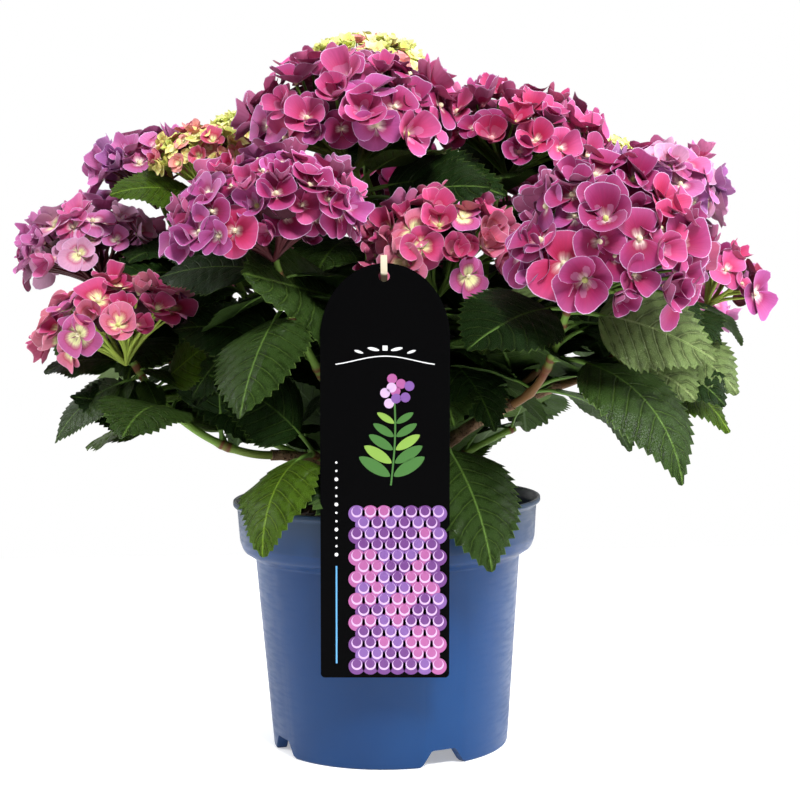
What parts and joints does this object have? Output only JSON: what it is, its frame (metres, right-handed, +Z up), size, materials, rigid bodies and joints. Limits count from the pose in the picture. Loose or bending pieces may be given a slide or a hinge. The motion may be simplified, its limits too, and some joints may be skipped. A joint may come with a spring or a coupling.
{
  "type": "potted hydrangea shrub",
  "caption": "Hydrangea shrub with large domed flower heads and broad toothed leaves, standing in a round nursery pot with a hanging plant tag.",
  "frame": {"origin": "centre of the pot's underside, on the surface it stands on", "axes": "+Z up, -Y towards the plant's front where the tag hangs, +X to the right seen from the front"},
  "size_m": [0.5665, 0.4328, 0.5333],
  "materials": {
    "pot_plastic": "satin moulded blue plastic, a little paler where light grazes it",
    "compost": "moist dark compost with bark chips",
    "bark": "dull brown bark with fine long cracks",
    "foliage": "glossy deep green leaves with paler veins, green stems",
    "bloom_full": "soft matt magenta petals with pale toothed edges",
    "bloom_rose": "soft matt rosy red petals with cream throats",
    "bloom_mauve": "soft matt mauve petals, paler in the middle",
    "bloom_half": "half open petals, lime yellow with crimson rims",
    "bloom_green": "young lime green petals and buds",
    "tag_card": null,
    "strap_plastic": "soft cream plastic strap"
  },
  "bodies": {
    "root": {"pot": "pot_plastic", "compost": "compost", "trunk": "bark", "bough_front": "bark", "bough_front_right": "bark", "bough_right": "bark", "bough_right_back": "bark", "bough_back": "bark", "bough_left_back": "bark", "bough_left": "bark", "bough_front_left": "bark", "bough_front_inner": "bark", "head_front": "bloom_rose", "head_left_front": "bloom_full", "head_right_front": "bloom_full", "head_top": "bloom_full", "head_top_right": "bloom_full", "head_left_low": "bloom_rose", "head_left": "bloom_mauve", "head_left_upper": "bloom_mauve", "head_left_bud": "bloom_half", "head_left_green": "bloom_green", "head_top_green": "bloom_green", "head_right_tip": "bloom_full", "head_right_green": "bloom_green", "head_right_upper": "bloom_mauve", "head_back": "bloom_full", "head_right_back": "bloom_full", "head_left_back": "bloom_rose", "head_right_low": "bloom_mauve", "head_left_low_back": "bloom_full", "head_back_low": "bloom_mauve", "shoot_front": "foliage", "shoot_left_front": "foliage", "shoot_right_front": "foliage", "shoot_top": "foliage", "shoot_top_right": "foliage", "shoot_left_low": "foliage", "shoot_left": "foliage", "shoot_left_upper": "foliage", "shoot_left_bud": "foliage", "shoot_left_green": "foliage", "shoot_top_green": "foliage", "shoot_right_tip": "foliage", "shoot_right_green": "foliage", "shoot_right_upper": "foliage", "shoot_back": "foliage", "shoot_right_back": "foliage", "shoot_left_back": "foliage", "shoot_right_low": "foliage", "shoot_left_low_back": "foliage", "shoot_back_low": "foliage", "shoot_low_front_left": "foliage", "shoot_low_front_right": "foliage", "shoot_low_right": "foliage", "shoot_low_left": "foliage", "shoot_low_back": "foliage", "tag": "tag_card", "tag_strap": "strap_plastic"}
  },
  "joints": []
}
